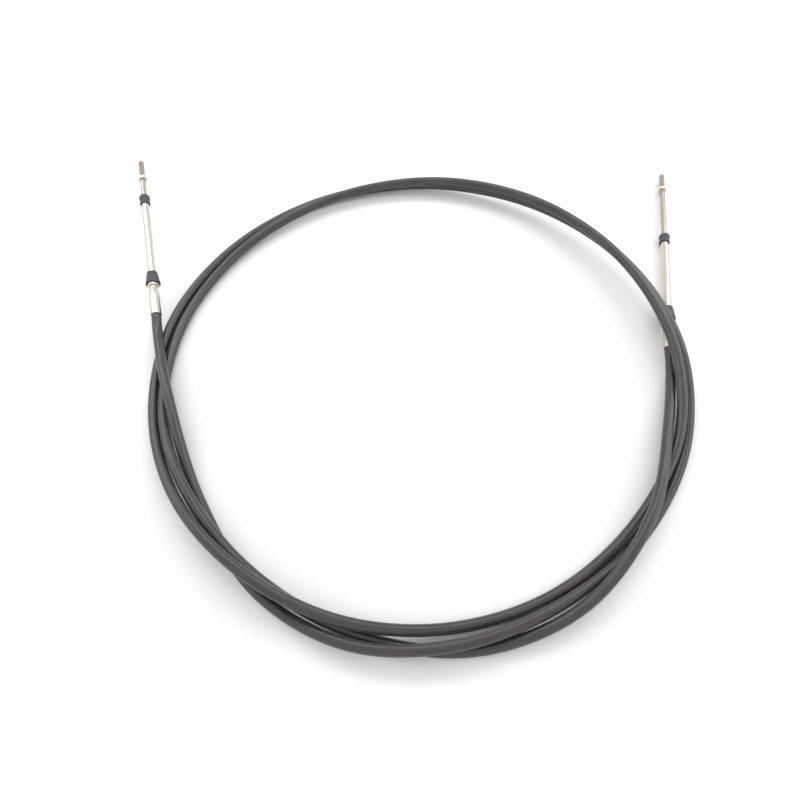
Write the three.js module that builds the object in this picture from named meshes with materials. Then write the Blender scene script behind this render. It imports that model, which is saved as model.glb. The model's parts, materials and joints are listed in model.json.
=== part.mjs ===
// A push-pull control cable of the kind used for boat steering. One black conduit lies in a loose
// loop of about two and a half turns. Each end has a crimped hub, a rubber boot, a swivelling
// sleeve with a wiper cap, and a sliding end rod with a jam nut.
// Millimetres, +Z up, the floor at z = 0, the origin in the middle below the cable.
import * as THREE from 'three';

const radians = THREE.MathUtils.degToRad;

// Conduit
const conduitDiameter = 8;
const conduitSides = 10;
const conduitSteps = 96;

// Clearances between neighbouring pieces
const seatGap = 0.3; // conduit end to hub, sleeve end to cap
const swivelGap = 0.2; // ball to socket
const slideGap = 0.4; // rod to sleeve bore
const wiperGap = 0.2; // rod to cap lip
const gripGap = 0.3; // boot collar and cap around the sleeve
const threadGap = 0.3; // jam nut around the rod

// Hub: its body narrows in a shoulder towards the groove, and a flange follows the groove
const hubRearDiameter = 9.2;
const hubFrontDiameter = 9;
const hubBodyLength = 26.4;
const hubChamfer = 0.5;
const hubShoulderLength = 4.5;
const hubShoulderDepth = 0.7;
const grooveDiameter = 6.8;
const grooveWidth = 2.6;
const flangeDiameter = 9.9;
const flangeWidth = 3;

// Swivel: the ball on the sleeve sits in the flange's socket
const ballDiameter = 5.8;
const neckDiameter = 4.4;
const ballBehindFlangeFace = 1.5;

// Sleeve
const sleeveWall = 0.5;
const sleeveAheadOfFlange = 2; // where the full tube starts
const sleeveFloor = 1; // closed wall behind the bore

// Boot
const bootLength = 12.5;
const bootSkirtDiameter = 12.7;
const bootMiddleDiameter = 10.1;
const bootCollarDiameter = 8.6;
const bootRimLength = 2.1;
const bootConeLength = 4.3;
const bootCollarLength = 3.2;
const bootStep = 0.6; // the slope from the middle down to the collar
const bootWall = 1;
const bootOverFlange = 1; // how far the skirt reaches back over the flange

// Cap
const capLength = 10.5;
const capFootDiameter = 9.3;
const capWaistDiameter = 8.8;
const capBulgeDiameter = 10;
const capFootLength = 1.3;
const capWaistLength = 1.5;
const capSlope = 1.8; // length of the slope on either side of the waist
const capRound = 1.2;
const capLipThickness = 3.7;

// Rod and jam nut
const rodDiameter = 5;
const rodLength = 131.5;
const rodChamfer = 0.6;
const nutAcrossFlats = 8;
const nutThickness = 3;
const nutFromTip = 21; // nut centre to rod tip
const rodTravel = 50.8;
const shortestRodOut = 37; // rod tip beyond the cap when the rod is all the way in
const tailClearance = 1.5; // rod tail to the sleeve's floor, all the way in

// One core wire joins both rods: what one is drawn out, the other has gone in
const leftRodDrawn = 5;
const leftRodOut = shortestRodOut + leftRodDrawn;
const rightRodOut = shortestRodOut + rodTravel - leftRodDrawn;

// The sleeve's size follows from the rod inside it
const boreDiameter = rodDiameter + 2 * slideGap;
const sleeveDiameter = boreDiameter + 2 * sleeveWall;
const rodHidden = rodLength - shortestRodOut;
const sleeveLength = sleeveFloor + tailClearance + rodHidden - seatGap - capLipThickness;

const roundSegments = 24;

// The conduit's centreline as it lies, from the left hub around the loop to the right hub
const route = [
  [-212, 42, 14.5], [-208.5, 26.5, 13], [-187.5, -36, 15.5], [-152, -119, 5.5],
  [-103.5, -183.5, 4.5], [-40.5, -217, 10.5], [30, -217.5, 14.5], [101.5, -190, 9.5],
  [166, -140.5, 4.1], [209.5, -69.5, 7], [218.5, 16, 15.5], [186.5, 106, 16.5],
  [116.5, 177.5, 11], [21.5, 209, 6], [-77, 192, 4.1], [-155, 133.5, 4.5],
  [-199.5, 50.5, 4.5], [-202, -37, 5], [-169, -117, 15], [-113, -173, 20.5],
  [-47.5, -203, 14.5], [24, -206.5, 7], [95.5, -184.5, 4.5], [160, -134, 5],
  [203.5, -65, 12], [211, 16, 20.5], [181.5, 103, 23], [117, 173, 19.5],
  [28.5, 204.5, 14.5], [-65, 189, 10.5], [-143, 134, 7], [-188, 57, 4.5],
  [-195.5, -24, 6.5], [-172.5, -94.5, 14], [-116, -165, 12.5], [-39, -209, 5.5],
  [40, -219.5, 4.5], [112, -194, 12], [166, -134, 18], [195.5, -59.5, 13],
  [211.5, -3, 7], [214, 13, 7],
];

// Where each fitting points: heading in degrees from +Y towards -X, and rise above level
const leftAim = { heading: 13.8, rise: 5.9 };
const rightAim = { heading: -10.4, rise: -0.6 };

const jacketBlack = { color: 0x1d1e1f, roughness: 0.38, metalness: 0 };
const rubberBlack = { color: 0x141414, roughness: 0.62, metalness: 0 };
const polishedSteel = { color: 0xdcd6c8, roughness: 0.18, metalness: 1 };
const stainlessRod = { color: 0x9c948a, roughness: 0.3, metalness: 1 };
const zincNut = { color: 0xc9c6bd, roughness: 0.32, metalness: 1 };

function pieceMesh(name, geometry, finish) {
  const mesh = new THREE.Mesh(geometry, new THREE.MeshStandardMaterial(finish));
  mesh.name = name;
  return mesh;
}

// A solid of revolution about the local Y axis, from points given as [radius, distance along Y]
function turned(profile) {
  const points = profile.map(([radius, along]) => new THREE.Vector2(radius, along));
  return new THREE.LatheGeometry(points, roundSegments);
}

// Points of an arc about (0, centre), from one distance along Y to another
function arcPoints(radius, centre, fromAlong, toAlong, count) {
  const first = Math.asin(THREE.MathUtils.clamp((fromAlong - centre) / radius, -1, 1));
  const last = Math.asin(THREE.MathUtils.clamp((toAlong - centre) / radius, -1, 1));
  return Array.from({ length: count }, (unused, step) => {
    const angle = first + ((last - first) * step) / (count - 1);
    return [Math.max(0, radius * Math.cos(angle)), centre + radius * Math.sin(angle)];
  });
}

function roundSection(diameter, sides) {
  const corners = Array.from({ length: sides }, (unused, corner) => {
    const angle = (2 * Math.PI * corner) / sides;
    return new THREE.Vector2(Math.cos(angle), Math.sin(angle)).multiplyScalar(diameter / 2);
  });
  return new THREE.Shape(corners);
}

function conduit() {
  const line = new THREE.CatmullRomCurve3(route.map((point) => new THREE.Vector3(...point)));
  const geometry = new THREE.ExtrudeGeometry(roundSection(conduitDiameter, conduitSides), {
    steps: conduitSteps,
    extrudePath: line,
  });
  return pieceMesh('conduit', geometry, jacketBlack);
}

// Places along a fitting's axis, measured from the conduit's end
const hubRear = seatGap;
const grooveStart = hubRear + hubBodyLength;
const flangeStart = grooveStart + grooveWidth;
const flangeFace = flangeStart + flangeWidth;
const ballCentre = flangeFace - ballBehindFlangeFace;
const sleeveStart = flangeFace + sleeveAheadOfFlange;
const sleeveEnd = sleeveStart + sleeveLength;
const bootStart = flangeFace - bootOverFlange;
const bootEnd = bootStart + bootLength;
const capEnd = sleeveEnd + seatGap + capLipThickness;
const capStart = capEnd - capLength;

function hub(name) {
  const socketRadius = ballDiameter / 2 + swivelGap;
  const socketBack = ballCentre - socketRadius;
  const socket = arcPoints(socketRadius, ballCentre, flangeFace, socketBack, 7);
  const profile = [
    [0, hubRear],
    [hubRearDiameter / 2 - hubChamfer, hubRear],
    [hubRearDiameter / 2, hubRear + hubChamfer],
    [hubFrontDiameter / 2, grooveStart - hubShoulderLength],
    [hubFrontDiameter / 2 - hubShoulderDepth, grooveStart],
    [grooveDiameter / 2, grooveStart],
    [grooveDiameter / 2, flangeStart],
    [flangeDiameter / 2, flangeStart],
    [flangeDiameter / 2, flangeFace],
    ...socket,
  ];
  return pieceMesh(name, turned(profile), polishedSteel);
}

function sleeve(name) {
  const ballRadius = ballDiameter / 2;
  const neckRadius = neckDiameter / 2;
  const outer = sleeveDiameter / 2;
  const bore = boreDiameter / 2;
  const neckStart = ballCentre + Math.sqrt(ballRadius ** 2 - neckRadius ** 2);
  const profile = [
    ...arcPoints(ballRadius, ballCentre, ballCentre - ballRadius, neckStart, 7),
    [neckRadius, sleeveStart],
    [outer, sleeveStart],
    [outer, sleeveEnd],
    [bore, sleeveEnd],
    [bore, sleeveStart + sleeveFloor],
    [0, sleeveStart + sleeveFloor],
  ];
  return pieceMesh(name, turned(profile), polishedSteel);
}

function boot(name) {
  const grip = sleeveDiameter / 2 + gripGap;
  const skirt = bootSkirtDiameter / 2;
  const rimEnd = bootStart + bootRimLength;
  const coneEnd = rimEnd + bootConeLength;
  const collarStart = bootEnd - bootCollarLength;
  const profile = [
    [skirt - bootWall, bootStart],
    [skirt, bootStart],
    [skirt, rimEnd],
    [bootMiddleDiameter / 2, coneEnd],
    [bootMiddleDiameter / 2, collarStart - bootStep],
    [bootCollarDiameter / 2, collarStart],
    [bootCollarDiameter / 2, bootEnd],
    [grip, bootEnd],
    [grip, coneEnd],
    [skirt - bootWall, rimEnd],
    [skirt - bootWall, bootStart],
  ];
  return pieceMesh(name, turned(profile), rubberBlack);
}

function cap(name) {
  const grip = sleeveDiameter / 2 + gripGap;
  const wiper = rodDiameter / 2 + wiperGap;
  const bulge = capBulgeDiameter / 2;
  const sleeveStop = sleeveEnd + seatGap;
  const waistStart = capStart + capFootLength + capSlope;
  const profile = [
    [grip, capStart],
    [capFootDiameter / 2, capStart],
    [capFootDiameter / 2, capStart + capFootLength],
    [capWaistDiameter / 2, waistStart],
    [capWaistDiameter / 2, waistStart + capWaistLength],
    [bulge, waistStart + capWaistLength + capSlope],
    [bulge, capEnd - capRound],
    [bulge - capRound, capEnd],
    [wiper, capEnd],
    [wiper, sleeveStop],
    [grip, sleeveStop],
    [grip, capStart],
  ];
  return pieceMesh(name, turned(profile), rubberBlack);
}

function rod(name, tip) {
  const radius = rodDiameter / 2;
  const tail = tip - rodLength;
  const profile = [
    [0, tail],
    [radius - rodChamfer, tail],
    [radius, tail + rodChamfer],
    [radius, tip - rodChamfer],
    [radius - rodChamfer, tip],
    [0, tip],
  ];
  return pieceMesh(name, turned(profile), stainlessRod);
}

function jamNut(name, tip) {
  const hexagon = roundSection(nutAcrossFlats / Math.cos(Math.PI / 6), 6);
  const hole = roundSection(rodDiameter + 2 * threadGap, roundSegments);
  hexagon.holes.push(new THREE.Path(hole.getPoints()));
  const geometry = new THREE.ExtrudeGeometry(hexagon, { depth: nutThickness, bevelEnabled: false });
  geometry.rotateX(radians(-90));
  geometry.translate(0, tip - nutFromTip - nutThickness / 2, 0);
  return pieceMesh(name, geometry, zincNut);
}

// One end of the cable, built along the local Y axis from the conduit's end
function endFitting(side, conduitEnd, aim, rodOut) {
  const fitting = new THREE.Group();
  const tip = capEnd + rodOut;
  fitting.add(
    hub(`${side}_hub`),
    boot(`${side}_boot`),
    sleeve(`${side}_sleeve`),
    cap(`${side}_cap`),
    rod(`${side}_rod`, tip),
    jamNut(`${side}_jam_nut`, tip),
  );
  fitting.position.set(...conduitEnd);
  fitting.rotation.order = 'ZXY';
  fitting.rotation.set(radians(aim.rise), 0, radians(aim.heading));
  return fitting;
}

const controlCable = new THREE.Group();
controlCable.add(
  conduit(),
  endFitting('left', route[0], leftAim, leftRodOut),
  endFitting('right', route[route.length - 1], rightAim, rightRodOut),
);

export default controlCable;
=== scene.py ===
import json
import math

import bpy
import numpy as np
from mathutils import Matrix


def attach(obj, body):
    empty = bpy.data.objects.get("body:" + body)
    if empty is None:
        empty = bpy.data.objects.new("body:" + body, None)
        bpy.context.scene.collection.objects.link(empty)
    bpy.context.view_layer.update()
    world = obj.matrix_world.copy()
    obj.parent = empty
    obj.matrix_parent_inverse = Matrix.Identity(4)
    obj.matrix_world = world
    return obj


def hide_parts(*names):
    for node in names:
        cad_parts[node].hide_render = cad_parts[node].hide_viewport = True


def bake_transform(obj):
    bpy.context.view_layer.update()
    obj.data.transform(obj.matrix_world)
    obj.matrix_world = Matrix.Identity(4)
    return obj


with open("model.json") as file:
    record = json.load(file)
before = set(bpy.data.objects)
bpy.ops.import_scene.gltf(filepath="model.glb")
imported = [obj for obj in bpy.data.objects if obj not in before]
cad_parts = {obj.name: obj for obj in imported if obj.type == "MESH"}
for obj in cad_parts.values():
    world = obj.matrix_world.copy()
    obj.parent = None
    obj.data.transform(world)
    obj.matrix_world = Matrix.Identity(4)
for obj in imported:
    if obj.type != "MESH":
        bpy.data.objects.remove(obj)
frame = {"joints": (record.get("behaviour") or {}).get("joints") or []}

# A push-pull control cable of the kind used for boat steering, lying in a loose loop.
# The scene is in metres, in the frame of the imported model: +Z up, the floor at z = 0.
# The fittings' own sizes are in millimetres, and mm turns them into metres.

mm = 0.001
fullTurn = 2 * math.pi
sharpAngle = math.radians(40)      # edges sharper than this stay crisp
tiny = 1e-5
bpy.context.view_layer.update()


# Camera: the photograph's angle, worked out from the loop's shape and the 8 mm conduit

photoView = {
    "frameSide": 800,              # pixels, the photograph is square
    "focalPixels": 622,
    "sensorWidth": 36,
    "lookDown": 60,                # degrees below level
    "height": 0.430,
    "centre": (-0.008, -0.0315),   # where the middle of the picture meets the floor
}


def placeCamera(view):
    camera = bpy.data.cameras.new("photoCamera")
    camera.sensor_width = view["sensorWidth"]
    camera.lens = view["sensorWidth"] * view["focalPixels"] / view["frameSide"]
    holder = bpy.data.objects.new("photoCamera", camera)
    back = view["height"] / math.tan(math.radians(view["lookDown"]))
    x, y = view["centre"]
    holder.location = (x, y - back, view["height"])
    holder.rotation_euler = (math.radians(90 - view["lookDown"]), 0, 0)
    bpy.context.scene.collection.objects.link(holder)
    bpy.context.scene.camera = holder


placeCamera(photoView)
print("camera placed")


# Shapes: a grid of points in rows along a piece and columns round it

# A mesh from points[row, column]: the columns close round the piece. The rows close too where
# ringClosed is true, and otherwise a flat face closes each end. UV map "run" holds the distance
# along the first column in metres and the share of a turn.
def gridMesh(name, points, ringClosed=False):
    rows, columns = points.shape[:2]
    number = np.arange(rows * columns).reshape(rows, columns)
    here = np.vstack([number, number[:1]]) if ringClosed else number
    there = np.roll(here, -1, axis=1)
    quads = np.stack([here[:-1], there[:-1], there[1:], here[1:]], axis=-1).reshape(-1, 4)
    stations = np.vstack([points[:, 0], points[:1, 0]]) if ringClosed else points[:, 0]
    steps = np.linalg.norm(np.diff(stations, axis=0), axis=1)
    along = np.concatenate([[0.0], np.cumsum(steps)])
    turn = np.arange(columns + 1) / columns
    low = np.broadcast_to(along[:-1, None], (len(steps), columns))
    high = np.broadcast_to(along[1:, None], low.shape)
    start = np.broadcast_to(turn[None, :-1], low.shape)
    stop = np.broadcast_to(turn[None, 1:], low.shape)
    corners = np.stack([low, start, low, stop, high, stop, high, start], axis=-1).reshape(-1, 2)
    loops, sizes = [quads.ravel()], [np.full(len(quads), 4)]
    if not ringClosed:
        loops += [number[0, ::-1], number[-1]]
        sizes += [np.array([columns, columns])]
        firstEnd = np.stack([np.full(columns, along[0]), turn[:-1][::-1]], axis=-1)
        lastEnd = np.stack([np.full(columns, along[-1]), turn[:-1]], axis=-1)
        corners = np.vstack([corners, firstEnd, lastEnd])
    loops, sizes = np.concatenate(loops), np.concatenate(sizes)
    mesh = bpy.data.meshes.new(name)
    mesh.vertices.add(rows * columns)
    mesh.vertices.foreach_set("co", points.astype(np.float32).ravel())
    mesh.loops.add(len(loops))
    mesh.loops.foreach_set("vertex_index", loops.astype(np.int32))
    mesh.polygons.add(len(sizes))
    starts = np.concatenate([[0], np.cumsum(sizes)[:-1]])
    mesh.polygons.foreach_set("loop_start", starts.astype(np.int32))
    mesh.polygons.foreach_set("use_smooth", np.ones(len(sizes), dtype=bool))
    uv = mesh.uv_layers.new(name="run")
    uv.data.foreach_set("uv", corners.astype(np.float32).ravel())
    mesh.update(calc_edges=True)
    mesh.validate()
    mesh.set_sharp_from_angle(angle=sharpAngle)
    piece = bpy.data.objects.new(name, mesh)
    bpy.context.scene.collection.objects.link(piece)
    return piece


# Points (along, radius) of a profile whose corners are rounded. Each corner is given as
# (along, radius, round), and its arc is the curve (1-t)^2 A + 2t(1-t) P + t^2 B, where A and B
# lie the round's length before and after the corner P. The whole profile is moved along by start.
def softProfile(corners, start=0.0, arcSteps=6):
    rows = np.array(corners, dtype=float) + (start, 0, 0)
    place, soft = rows[:, :2], rows[:, 2:]
    before = np.vstack([place[:1], place[:-1]]) - place
    after = np.vstack([place[1:], place[-1:]]) - place
    unit = lambda v: v / np.maximum(np.linalg.norm(v, axis=1, keepdims=True), tiny)
    first, last = place + unit(before) * soft, place + unit(after) * soft
    t = np.linspace(0, 1, arcSteps)[None, :, None]
    arcs = (1 - t) ** 2 * first[:, None] + 2 * t * (1 - t) * place[:, None] + t ** 2 * last[:, None]
    line = arcs.reshape(-1, 2)
    moved = np.linalg.norm(np.diff(line, axis=0), axis=1) > tiny
    return line[np.concatenate([[True], moved])]


# The same profile with points added so that none lie further apart than step.
def filled(line, step):
    travelled = np.concatenate([[0.0], np.cumsum(np.linalg.norm(np.diff(line, axis=0), axis=1))])
    extra = np.arange(0, travelled[-1], step)
    at = np.unique(np.concatenate([travelled, extra]).round(5))
    return np.stack([np.interp(at, travelled, column) for column in line.T], axis=-1)


# A profile carried round a fitting's axis: point = conduit end + along * axis
# + radius * (cos a * across + sin a * under). relief(along, radius, a) changes the radius.
def turnedPoints(line, around, end, relief=None):
    angle = np.arange(around) * fullTurn / around
    along, radius = line[:, :1], line[:, 1:] + 0 * angle
    if relief is not None:
        radius = relief(along, radius, angle[None])
    ray = np.cos(angle)[:, None] * end["across"] + np.sin(angle)[:, None] * end["under"]
    return end["origin"] + mm * (along[..., None] * end["axis"] + radius[..., None] * ray[None])


# The lesser of two values, with the crease between them rounded off.
def softLeast(first, second, soft):
    return -soft * np.logaddexp(-first / soft, -second / soft)


# Materials: shader maths written as Python expressions

# One socket of a material's node tree; arithmetic on it adds Math nodes.
class Flow:
    def __init__(self, finish, socket):
        self.finish, self.socket = finish, socket

    def maths(self, operation, *values):
        return self.finish.node("ShaderNodeMath", {"operation": operation}, dict(enumerate(values)))

    def __add__(self, other):
        return self.maths("ADD", self, other)

    def __radd__(self, other):
        return self.maths("ADD", other, self)

    def __mul__(self, other):
        return self.maths("MULTIPLY", self, other)

    def __rmul__(self, other):
        return self.maths("MULTIPLY", other, self)

    def sine(self):
        return self.maths("SINE", self)

    def cosine(self):
        return self.maths("COSINE", self)


# A material being made: its node tree, and one method that adds any node.
class Finish:
    def __init__(self, name):
        self.material = bpy.data.materials.new(name)
        self.material.use_nodes = True
        self.tree = self.material.node_tree
        self.tree.nodes.clear()

    def node(self, kind, settings=None, sockets=None, output=0):
        made = self.tree.nodes.new(kind)
        for key, value in (settings or {}).items():
            setattr(made, key, value)
        for key, value in (sockets or {}).items():
            if isinstance(value, Flow):
                self.tree.links.new(value.socket, made.inputs[key])
            else:
                made.inputs[key].default_value = value
        return Flow(self, made.outputs[output]) if len(made.outputs) else None

    # Distance along the piece and share of a turn, from the piece's own UV map.
    def run(self):
        uv = self.node("ShaderNodeUVMap", {"uv_map": "run"})
        parts = self.node("ShaderNodeSeparateXYZ", None, {0: uv}).socket.node.outputs
        return Flow(self, parts["X"]), Flow(self, parts["Y"])

    # The surface's place as (x, y, distance along), seamless round a piece of that radius.
    def roundPlace(self, along, turn, radius):
        angle = turn * fullTurn
        return self.combined(angle.cosine() * radius, angle.sine() * radius, along)

    def objectPlace(self):
        return self.node("ShaderNodeTexCoord", None, None, "Object")

    def combined(self, x, y, z):
        return self.node("ShaderNodeCombineXYZ", None, {0: x, 1: y, 2: z})

    def stretched(self, vector, amounts):
        return self.node("ShaderNodeVectorMath", {"operation": "MULTIPLY"}, {0: vector, 1: amounts})

    def noise(self, vector, scale, detail, roughness=0.5):
        wanted = {"Vector": vector, "Scale": scale, "Detail": detail, "Roughness": roughness}
        return self.node("ShaderNodeTexNoise", None, wanted)

    # The value's place between low and high, carried over to bottom and top.
    def ramped(self, value, low, high, bottom=0.0, top=1.0):
        wanted = {"Value": value, "From Min": low, "From Max": high, "To Min": bottom, "To Max": top}
        return self.node("ShaderNodeMapRange", {"clamp": True}, wanted)

    # Sockets 0, 6 and 7 are the share and the two colours, and output 2 is the mixed colour.
    def mixed(self, share, first, second):
        kind = {"data_type": "RGBA", "blend_type": "MIX"}
        return self.node("ShaderNodeMix", kind, {0: share, 6: first, 7: second}, 2)

    def bumped(self, height, depth, strength):
        wanted = {"Height": height, "Distance": depth, "Strength": strength}
        return self.node("ShaderNodeBump", None, wanted)

    def surface(self, sockets):
        shader = self.node("ShaderNodeBsdfPrincipled", None, sockets)
        self.node("ShaderNodeOutputMaterial", None, {"Surface": shader})
        return self.material


# In the looks below a noise is (scale, detail) or (scale, detail, roughness), a range is the part
# of a noise that goes from none to all, a stretch is along x, y and the piece's length, and a
# relief is (depth in metres, strength).

jacketLook = {
    "black": (0.038, 0.0315, 0.0355, 1),
    "faded": (0.055, 0.047, 0.052, 1),
    "dust": (0.20, 0.19, 0.18, 1),
    "radius": 0.004,
    "roughness": (0.23, 0.33),
    "roughRange": (0.3, 0.7),
    "patchShare": 0.7,             # of the roughness; the grain gives the rest
    "dieLines": (2600, 2.0),
    "dieStretch": (1, 1, 0.015),
    "dieHeight": 0.5,
    "patches": (260, 4.0),
    "patchStretch": (1, 1, 0.18),
    "wornRange": (0.35, 0.75),
    "grain": (5200, 2.0),
    "grainHeight": 0.25,
    "wireCount": 16,               # armour wires that show faintly through the jacket
    "wireLay": 0.11,               # metres for one turn of a wire
    "wireHeight": 0.12,
    "specks": (1900, 1.0),
    "speckRange": (0.70, 0.78),
    "dustyRange": (0.45, 0.62),
    "dustCover": 0.55,
    "dustRoughness": 0.2,
    "relief": (0.00006, 0.6),
}


# Extruded black plastic: long die lines, a faint lay of the armour below, fine dust.
def jacketFinish(look):
    finish = Finish("satinBlackJacket")
    along, turn = finish.run()
    place = finish.roundPlace(along, turn, look["radius"])
    dieLines = finish.noise(finish.stretched(place, look["dieStretch"]), *look["dieLines"])
    patches = finish.noise(finish.stretched(place, look["patchStretch"]), *look["patches"])
    grain = finish.noise(place, *look["grain"])
    specks = finish.noise(place, *look["specks"])
    wires = fullTurn * look["wireCount"]
    lay = (turn * wires + along * (wires / look["wireLay"])).sine()
    dust = finish.ramped(specks, *look["speckRange"]) * finish.ramped(patches, *look["dustyRange"])
    worn = finish.ramped(patches, *look["wornRange"])
    colour = finish.mixed(worn, look["black"], look["faded"])
    colour = finish.mixed(dust * look["dustCover"], colour, look["dust"])
    wear = patches * look["patchShare"] + grain * (1 - look["patchShare"])
    roughness = finish.ramped(wear, *look["roughRange"], *look["roughness"])
    height = dieLines * look["dieHeight"] + grain * look["grainHeight"] + lay * look["wireHeight"]
    return finish.surface({
        "Base Color": colour,
        "Roughness": roughness + dust * look["dustRoughness"],
        "Normal": finish.bumped(height, *look["relief"]),
    })


rubberLook = {
    "black": (0.046, 0.042, 0.056, 1),
    "bloom": (0.082, 0.077, 0.096, 1),
    "roughness": (0.48, 0.66),
    "roughRange": (0.3, 0.7),
    "patches": (320, 4.0),
    "bloomRange": (0.38, 0.72),
    "grain": (4200, 3.0),
    "grainHeight": 0.5,
    "rings": (3400, 1.0),
    "ringHeight": 0.35,
    "seamFrom": 0.9985,            # cosine at which the mould's two parting lines begin
    "seamHeight": 0.8,
    "relief": (0.00007, 0.7),
}


# Moulded rubber: a soft grain, a grey bloom in patches, fine rings and the mould's parting lines.
def rubberFinish(look):
    finish = Finish("mouldedRubber")
    place = finish.objectPlace()
    along, turn = finish.run()
    patches = finish.noise(place, *look["patches"])
    grain = finish.noise(place, *look["grain"])
    rings = finish.noise(finish.combined(along, 0.0, 0.0), *look["rings"])
    seam = finish.ramped((turn * (2 * fullTurn)).cosine(), look["seamFrom"], 1.0)
    bloom = finish.ramped(patches, *look["bloomRange"])
    wear = patches * 0.5 + grain * 0.5
    height = grain * look["grainHeight"] + rings * look["ringHeight"] + seam * look["seamHeight"]
    return finish.surface({
        "Base Color": finish.mixed(bloom, look["black"], look["bloom"]),
        "Roughness": finish.ramped(wear, *look["roughRange"], *look["roughness"]),
        "Normal": finish.bumped(height, *look["relief"]),
    })


steelLook = {
    "bright": (0.69, 0.655, 0.585, 1),
    "warm": (0.61, 0.565, 0.48, 1),
    "radius": 0.0034,
    "roughness": (0.10, 0.24),
    "roughRange": (0.32, 0.68),
    "draw": (3200, 3.0),
    "drawStretch": (1, 1, 0.012),
    "smudges": (170, 4.0, 0.6),
    "smudgeShare": 0.6,            # of the tint; the draw marks give the rest
    "warmRange": (0.35, 0.68),
    "scratches": (1500, 2.0),
    "scratchStretch": (1, 1, 6.0),
    "scratchRange": (0.62, 0.70),
    "scratchRoughness": 0.06,
    "drawHeight": 0.6,
    "scratchHeight": 0.4,
    "relief": (0.000012, 0.5),
}


# Polished steel with a faint warm tint: long draw marks, light handling marks, thin stains.
def polishedFinish(look):
    finish = Finish("polishedSteel")
    place = finish.roundPlace(*finish.run(), look["radius"])
    draw = finish.noise(finish.stretched(place, look["drawStretch"]), *look["draw"])
    smudge = finish.noise(place, *look["smudges"])
    scratch = finish.noise(finish.stretched(place, look["scratchStretch"]), *look["scratches"])
    marks = finish.ramped(scratch, *look["scratchRange"])
    tint = smudge * look["smudgeShare"] + draw * (1 - look["smudgeShare"])
    warmth = finish.ramped(tint, *look["warmRange"])
    wear = smudge * 0.5 + draw * 0.5
    roughness = finish.ramped(wear, *look["roughRange"], *look["roughness"])
    height = draw * look["drawHeight"] + marks * look["scratchHeight"]
    return finish.surface({
        "Base Color": finish.mixed(warmth, look["bright"], look["warm"]),
        "Metallic": 1.0,
        "Roughness": roughness + marks * look["scratchRoughness"],
        "Normal": finish.bumped(height, *look["relief"]),
    })


rodLook = {
    "grey": (0.51, 0.465, 0.42, 1),
    "brown": (0.42, 0.375, 0.33, 1),
    "radius": 0.0025,
    "roughness": (0.22, 0.36),
    "roughRange": (0.3, 0.7),
    "rings": (5200, 2.0),
    "ringStretch": (0.08, 0.08, 1),
    "film": (210, 4.0, 0.6),
    "filmStretch": (1, 1, 0.35),
    "filmRange": (0.36, 0.66),
    "filmShare": 0.4,              # of the roughness; the rings give the rest
    "relief": (0.000010, 0.5),
}


# Ground stainless rod: fine rings round it, a brownish film that comes and goes.
def rodFinish(look):
    finish = Finish("groundStainlessRod")
    place = finish.roundPlace(*finish.run(), look["radius"])
    rings = finish.noise(finish.stretched(place, look["ringStretch"]), *look["rings"])
    film = finish.noise(finish.stretched(place, look["filmStretch"]), *look["film"])
    stain = finish.ramped(film, *look["filmRange"])
    wear = film * look["filmShare"] + rings * (1 - look["filmShare"])
    return finish.surface({
        "Base Color": finish.mixed(stain, look["grey"], look["brown"]),
        "Metallic": 1.0,
        "Roughness": finish.ramped(wear, *look["roughRange"], *look["roughness"]),
        "Normal": finish.bumped(rings, *look["relief"]),
    })


nutLook = {
    "bright": (0.80, 0.78, 0.73, 1),
    "dull": (0.62, 0.59, 0.53, 1),
    "roughness": (0.20, 0.38),
    "roughRange": (0.3, 0.7),
    "mottle": (900, 4.0, 0.6),
    "dullRange": (0.36, 0.68),
    "pits": (5200, 2.0),
    "relief": (0.00002, 0.5),
}


# Plated nut: a mottled coat with small pits.
def nutFinish(look):
    finish = Finish("platedNut")
    place = finish.objectPlace()
    mottle = finish.noise(place, *look["mottle"])
    pits = finish.noise(place, *look["pits"])
    dull = finish.ramped(mottle, *look["dullRange"])
    return finish.surface({
        "Base Color": finish.mixed(dull, look["bright"], look["dull"]),
        "Metallic": 1.0,
        "Roughness": finish.ramped(mottle, *look["roughRange"], *look["roughness"]),
        "Normal": finish.bumped(pits, *look["relief"]),
    })


finishes = {
    "jacket": jacketFinish(jacketLook),
    "rubber": rubberFinish(rubberLook),
    "polished_steel": polishedFinish(steelLook),
    "rod_steel": rodFinish(rodLook),
    "nut_steel": nutFinish(nutLook),
}
print("finishes made:", len(finishes))


def finishPiece(piece, slotName, node, body=None):
    piece.data.materials.append(finishes[slotName])
    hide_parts(node)
    if body:
        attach(piece, body)
    return piece


# Conduit: the cable's jacket along its whole route

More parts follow.
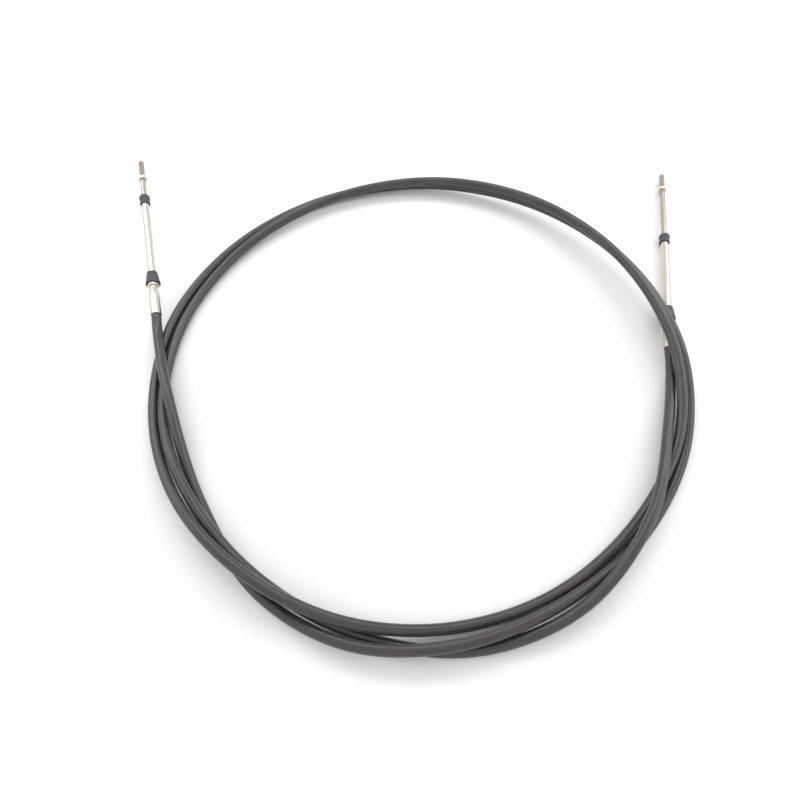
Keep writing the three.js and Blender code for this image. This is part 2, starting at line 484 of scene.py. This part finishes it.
cableRun = {
    "diameter": 0.008,
    "around": 32,
    "stepsPerPoint": 34,
    "intoHub": 0.0016,      # how far each end runs on inside its hub
    "points": [
        (-0.212, 0.042, 0.0145), (-0.2085, 0.0265, 0.013), (-0.1875, -0.036, 0.0155),
        (-0.152, -0.119, 0.0055), (-0.1035, -0.1835, 0.0045), (-0.0405, -0.217, 0.0105),
        (0.03, -0.2175, 0.0145), (0.1015, -0.19, 0.0095), (0.166, -0.1405, 0.0041),
        (0.2095, -0.0695, 0.007), (0.2185, 0.016, 0.0155), (0.1865, 0.106, 0.0165),
        (0.1165, 0.1775, 0.011), (0.0215, 0.209, 0.006), (-0.077, 0.192, 0.0041),
        (-0.155, 0.1335, 0.0045), (-0.1995, 0.0505, 0.0045), (-0.202, -0.037, 0.005),
        (-0.169, -0.117, 0.015), (-0.113, -0.173, 0.0205), (-0.0475, -0.203, 0.0145),
        (0.024, -0.2065, 0.007), (0.0955, -0.1845, 0.0045), (0.16, -0.134, 0.005),
        (0.2035, -0.065, 0.012), (0.211, 0.016, 0.0205), (0.1815, 0.103, 0.023),
        (0.117, 0.173, 0.0195), (0.0285, 0.2045, 0.0145), (-0.065, 0.189, 0.0105),
        (-0.143, 0.134, 0.007), (-0.188, 0.057, 0.0045), (-0.1955, -0.024, 0.0065),
        (-0.1725, -0.0945, 0.014), (-0.116, -0.165, 0.0125), (-0.039, -0.209, 0.0055),
        (0.04, -0.2195, 0.0045), (0.112, -0.194, 0.012), (0.166, -0.134, 0.018),
        (0.1955, -0.0595, 0.013), (0.2115, -0.003, 0.007), (0.214, 0.013, 0.007),
    ],
}


# A smooth curve through the points. Between two of them it is the cubic whose slopes come from
# their neighbours, each weighed by the square root of the distance between the points.
def routeLine(points, steps):
    p = np.array(points)
    p = np.vstack([2 * p[0] - p[1], p, 2 * p[-1] - p[-2]])
    a, b, c, d = p[:-3], p[1:-2], p[2:-1], p[3:]
    gap = lambda u, v: np.linalg.norm(v - u, axis=1, keepdims=True) ** 0.5
    ab, bc, cd = gap(a, b), gap(b, c), gap(c, d)
    slopeB = ((b - a) / ab - (c - a) / (ab + bc) + (c - b) / bc) * bc
    slopeC = ((c - b) / bc - (d - b) / (bc + cd) + (d - c) / cd) * bc
    t = (np.arange(steps) / steps)[None, :, None]
    second, third = -3 * b + 3 * c - 2 * slopeB - slopeC, 2 * b - 2 * c + slopeB + slopeC
    line = b[:, None] + slopeB[:, None] * t + second[:, None] * t ** 2 + third[:, None] * t ** 3
    return np.vstack([line.reshape(-1, 3), p[-2:-1]])


# A tube of that radius: point = line + radius * (cos a * side + sin a * over), where side is
# level and square to the line, and over is square to both.
def tubePoints(line, radius, around):
    ahead = np.gradient(line, axis=0)
    ahead /= np.linalg.norm(ahead, axis=1, keepdims=True)
    side = np.cross(ahead, (0.0, 0.0, 1.0))
    side /= np.linalg.norm(side, axis=1, keepdims=True)
    over = np.cross(ahead, side)
    angle = (np.arange(around) * fullTurn / around)[None, :, None]
    return line[:, None] + radius * (np.cos(angle) * side[:, None] + np.sin(angle) * over[:, None])


# The point that lies the given distance past the end of a line, straight on.
def straightOn(end, before, distance):
    return end + (end - before) / np.linalg.norm(end - before) * distance


def makeConduit(run):
    line = routeLine(run["points"], run["stepsPerPoint"])
    first = straightOn(line[0], line[1], run["intoHub"])
    last = straightOn(line[-1], line[-2], run["intoHub"])
    whole = np.vstack([first, line, last])
    piece = gridMesh("cableConduit", tubePoints(whole, run["diameter"] / 2, run["around"]))
    finishPiece(piece, "jacket", "conduit", "cable")
    length = float(np.linalg.norm(np.diff(line, axis=0), axis=1).sum())
    return piece, line, length


conduit, conduitLine, conduitLength = makeConduit(cableRun)
print("conduit laid,", round(conduitLength, 3), "m")


# End fittings: each is turned about its own axis and measured in millimetres from the conduit's
# end. A profile's rows are (along, radius, round).

def fittingEnd(side, origin):
    slide = next(joint for joint in frame["joints"] if joint["name"] == side + "_slide")
    axis = np.array(slide["axis"])
    across = np.cross(axis, (0.0, 0.0, 1.0))
    across /= np.linalg.norm(across)
    return {"side": side, "origin": np.array(origin), "axis": axis, "across": across,
            "under": np.cross(axis, across)}


def turnedPiece(end, name, shape, ringClosed=False, relief=None, start=0.0):
    line = filled(softProfile(shape["profile"], start), shape["step"])
    points = turnedPoints(line, shape["around"], end, relief)
    return gridMesh(end["side"] + name, points, ringClosed)


hubShape = {
    "around": 120,
    "step": 0.45,
    "profile": [
        (1.9, 4.08, 0),            # mouth, which takes the conduit
        (0.3, 4.08, 0.10),
        (0.3, 4.60, 0.22),
        (20.6, 4.52, 2.6),         # end of the body, start of the shoulder
        (26.5, 3.55, 0.35),
        (26.9, 3.40, 0.2),         # clamp groove
        (29.3, 3.40, 0.2),
        (29.3, 4.95, 0.3),         # front flange
        (32.3, 4.95, 0.4),
        (32.3, 3.25, 0.15),        # swivel socket
        (30.2, 2.75, 0),
    ],
    "crimps": 6,
    "crimpAngle": 0.35,            # radians that the flats are turned by
    "crimpRadius": 4.58,           # from the axis to a flat at its ends
    "crimpDepth": 0.16,
    "crimpMiddle": 12,
    "crimpReach": 10.5,            # half a flat's length
    "crimpFrom": 1.3,
    "crimpOver": 4.18,             # nothing nearer the axis is pressed
    "edgeSoftness": 0.03,
}


def makeHub(end, h):

    # Flats pressed into the body: each lies deepest at the middle of its length. Half of what
    # the softened edge takes off is given back.
    def crimped(along, radius, angle):
        share = np.clip(1 - ((along - h["crimpMiddle"]) / h["crimpReach"]) ** 2, 0, 1)
        sector, soft = fullTurn / h["crimps"], h["edgeSoftness"]
        off = np.mod(angle + h["crimpAngle"], sector) - sector / 2
        flat = (h["crimpRadius"] - h["crimpDepth"] * share) / np.cos(off)
        pressed = softLeast(flat, radius, soft) + soft * math.log(2) / 2
        onBody = (share > 0) & (along > h["crimpFrom"]) & (radius > h["crimpOver"])
        return np.where(onBody, np.minimum(radius, pressed), radius)

    piece = turnedPiece(end, "HubFerrule", h, relief=crimped)
    return finishPiece(piece, "polished_steel", end["side"] + "_hub", "cable")


sleeveShape = {
    "around": 96,
    "step": 3,
    "profile": [
        (31.2, 2.2, 0),            # neck, which comes out of the ball
        (34.3, 2.2, 0.3),
        (34.3, 3.4, 0.35),
        (127.3, 3.4, 0.15),        # open end, inside the cap
        (127.3, 2.9, 0.1),
        (35.3, 2.9, 0),            # floor of the bore
    ],
}


def makeSleeve(end, shape):
    piece = turnedPiece(end, "SwivelSleeve", shape)
    finishPiece(piece, "polished_steel", end["side"] + "_sleeve", end["side"] + "_end")


bootShape = {
    "around": 96,
    "step": 0.8,
    "profile": [
        (32.1, 5.4, 0),
        (31.3, 5.5, 0.15),
        (31.3, 6.05, 0.3),         # skirt
        (33.7, 6.0, 0.8),
        (37.2, 5.15, 0.9),
        (39.0, 5.25, 0.7),         # middle
        (39.95, 5.1, 0.3),
        (40.3, 3.95, 0.12),        # ring below the collar
        (40.75, 4.45, 0.2),
        (42.9, 4.5, 0.5),          # collar
        (43.8, 4.2, 0.3),
        (43.7, 3.42, 0.15),        # grip on the sleeve
        (37.2, 3.42, 0.6),
        (33.3, 5.4, 0.8),
    ],
    "bendFrom": 32.3,
    "bendTo": 40.3,
}


def makeBoot(end, shape):
    piece = turnedPiece(end, "RubberBoot", shape, ringClosed=True)
    finishPiece(piece, "rubber", end["side"] + "_boot")
    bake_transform(piece)


capShape = {
    "around": 96,
    "step": 0.8,
    "profile": [
        (121.4, 3.42, 0),
        (120.8, 3.57, 0.15),
        (120.8, 4.5, 0.3),         # foot
        (122.1, 4.5, 0.5),
        (123.9, 4.1, 0.7),         # waist
        (125.4, 4.1, 0.7),
        (127.2, 4.75, 0.9),        # bulge
        (129.8, 4.75, 0.9),
        (130.8, 3.45, 0.5),
        (130.6, 3.33, 0.2),        # wiper lip round the rod
        (131.3, 3.08, 0.15),
        (131.3, 2.58, 0.12),
        (127.6, 2.58, 0.1),
        (127.6, 3.42, 0.1),        # stop for the sleeve's end
    ],
}


def makeCap(end, shape):
    piece = turnedPiece(end, "WiperCap", shape, ringClosed=True)
    finishPiece(piece, "rubber", end["side"] + "_cap", end["side"] + "_end")


rodShape = {
    "around": 48,
    "profile": [                   # along is measured from the tip
        (-131.5, 0.3, 0),
        (-131.5, 2.5, 0.5),
        (0, 2.5, 0.9),
        (0, 0.3, 0),
    ],
    "tip": {"left": 173.3, "right": 214.1},
    "radius": 2.5,
    "plainStep": 4,
    "threadStep": 0.1,
    "threadLength": 24.5,
    "threadFade": 1.2,
    "threadDepth": 0.49,
    "pitch": 0.8,
    "crestTop": 1.15,              # above 1 the crests are flat
    "flankSlope": 1.3,
}


def makeRod(end, r):
    tip = r["tip"][end["side"]]
    threadStart = tip - r["threadLength"]

    # A vee thread: the radius falls and rises once in each pitch, one pitch a turn.
    def threaded(along, radius, angle):
        phase = np.mod(along / r["pitch"] - angle / fullTurn, 1.0)
        crest = np.clip(r["crestTop"] - np.abs(2 * phase - 1) * r["flankSlope"], 0, 1)
        fade = np.clip((along - threadStart) / r["threadFade"], 0, 1)
        return np.minimum(radius, r["radius"] - r["threadDepth"] * fade * (1 - crest))

    smooth = softProfile(r["profile"], tip)
    onThread = smooth[:, 0] >= threadStart
    plain = filled(smooth[~onThread], r["plainStep"])
    fine = filled(np.vstack([[threadStart, r["radius"]], smooth[onThread]]), r["threadStep"])
    points = turnedPoints(np.vstack([plain, fine]), r["around"], end, threaded)
    piece = gridMesh(end["side"] + "EndRod", points)
    finishPiece(piece, "rod_steel", end["side"] + "_rod", end["side"] + "_plunger")


nutShape = {
    "around": 144,
    "step": 0.12,
    "profile": [                   # along is measured from the nut's middle
        (-1.25, 2.42, 0),
        (-1.5, 2.67, 0.03),
        (-1.5, 4.85, 0),
        (1.5, 4.85, 0),
        (1.5, 2.67, 0.03),
        (1.25, 2.42, 0),
    ],
    "fromTip": 21,
    "half": 1.5,                   # half its thickness
    "flatRadius": 4,               # half its width across the flats
    "chamferRadius": 3.85,
    "chamferSlope": 1.73,
    "cornerSoftness": 0.03,
}


def makeJamNut(end, n):
    centre = rodShape["tip"][end["side"]] - n["fromTip"]
    soft = n["cornerSoftness"]
    sector = fullTurn / 6
    corner = n["flatRadius"] / math.cos(sector / 2)

    # The radius is the least of the profile's, the hexagon's, and two chamfer cones'.
    def hexagonal(along, radius, angle):
        off = np.mod(angle, sector) - sector / 2
        flat = softLeast(n["flatRadius"] / np.cos(off), corner - soft, soft)
        cone = n["chamferRadius"] + (n["half"] - np.abs(along - centre)) * n["chamferSlope"]
        return np.minimum(np.minimum(radius, flat), cone)

    piece = turnedPiece(end, "JamNut", n, ringClosed=True, relief=hexagonal, start=centre)
    finishPiece(piece, "nut_steel", end["side"] + "_jam_nut", end["side"] + "_plunger")


def makeFitting(side, origin):
    end = fittingEnd(side, origin)
    hub = makeHub(end, hubShape)
    makeSleeve(end, sleeveShape)
    makeBoot(end, bootShape)
    makeCap(end, capShape)
    makeRod(end, rodShape)
    makeJamNut(end, nutShape)
    print(side, "fitting made")
    return hub


makeFitting("left", cableRun["points"][0])
rightHub = makeFitting("right", cableRun["points"][-1])


# Floor and light: a plain pale floor in a soft white studio

studio = {
    "floorSide": 60.0,
    "floorShade": (0.86, 0.86, 0.87, 1),
    "floorRoughness": 0.75,
    "roomShade": (1, 1, 1, 1),
    "ambient": 0.98,
    "lamps": [
        # name, place, aimed at, width, height, watts
        ("backPanel", (0.0, 0.80, 1.15), (0.0, 0.0, 0.0), 2.0, 0.30, 6.5),
        ("leftWindow", (-0.90, 0.3, 0.60), (-0.1, 0.0, 0.0), 1.2, 0.25, 2.2),
        ("rightWindow", (0.90, 0.3, 0.55), (0.1, 0.0, 0.0), 1.2, 0.25, 3.0),
    ],
}


def makeFloor(setup):
    half = setup["floorSide"] / 2
    corners = [(-half, -half, 0), (half, -half, 0), (half, half, 0), (-half, half, 0)]
    mesh = bpy.data.meshes.new("floor")
    mesh.from_pydata(corners, [], [(0, 1, 2, 3)])
    floor = bpy.data.objects.new("floor", mesh)
    bpy.context.scene.collection.objects.link(floor)
    shade = {"Base Color": setup["floorShade"], "Roughness": setup["floorRoughness"]}
    mesh.materials.append(Finish("paleFloor").surface(shade))


def makeLamp(name, place, target, width, height, watts):
    lamp = bpy.data.lights.new(name, "AREA")
    lamp.shape, lamp.size, lamp.size_y, lamp.energy = "RECTANGLE", width, height, watts
    holder = bpy.data.objects.new(name, lamp)
    holder.location = place
    aim = np.array(target) - np.array(place)
    tilt = math.acos(-aim[2] / np.linalg.norm(aim))
    holder.rotation_euler = (tilt, 0, math.atan2(-aim[0], aim[1]))
    holder.visible_camera = False
    bpy.context.scene.collection.objects.link(holder)


def lightStudio(setup):
    world = bpy.data.worlds.new("softRoom")
    world.use_nodes = True
    room = world.node_tree.nodes["Background"]
    room.inputs["Color"].default_value = setup["roomShade"]
    room.inputs["Strength"].default_value = setup["ambient"]
    bpy.context.scene.world = world
    for lamp in setup["lamps"]:
        makeLamp(*lamp)
    bpy.context.scene.view_settings.view_transform = "Standard"


makeFloor(studio)
lightStudio(studio)
print("floor and lights made")
